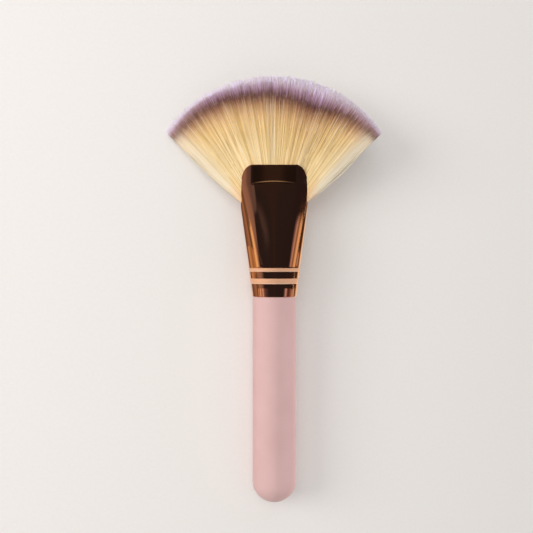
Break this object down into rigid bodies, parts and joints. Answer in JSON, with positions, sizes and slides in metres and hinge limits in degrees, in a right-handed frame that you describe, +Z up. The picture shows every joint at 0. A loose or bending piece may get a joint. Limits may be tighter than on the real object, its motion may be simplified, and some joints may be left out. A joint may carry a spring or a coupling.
{
  "type": "fan-shaped face brush",
  "caption": "Fan-shaped face brush with a round pink handle, a mirror-polished metal ferrule and cream hair with dark and lavender tips, lying at rest.",
  "frame": {"origin": "centre of the lying brush's bounding box in X and Y, on the surface that it rests on", "axes": "+Y runs along the brush from the rounded end of the handle towards the fan, +X across the fan, +Z up; the brush rises by 1.1 degrees towards the fan and is rolled about its own axis until the fan's -X corner touches the surface"},
  "size_m": [0.0847, 0.1708, 0.0227],
  "materials": {
    "handle_lacquer": "satin",
    "ferrule_metal": "polished",
    "resin": "satin",
    "hair": "matte"
  },
  "bodies": {
    "root": {"handle": "handle_lacquer", "ferrule": "ferrule_metal", "resin_plug": "resin", "bristles": "hair"}
  },
  "joints": []
}
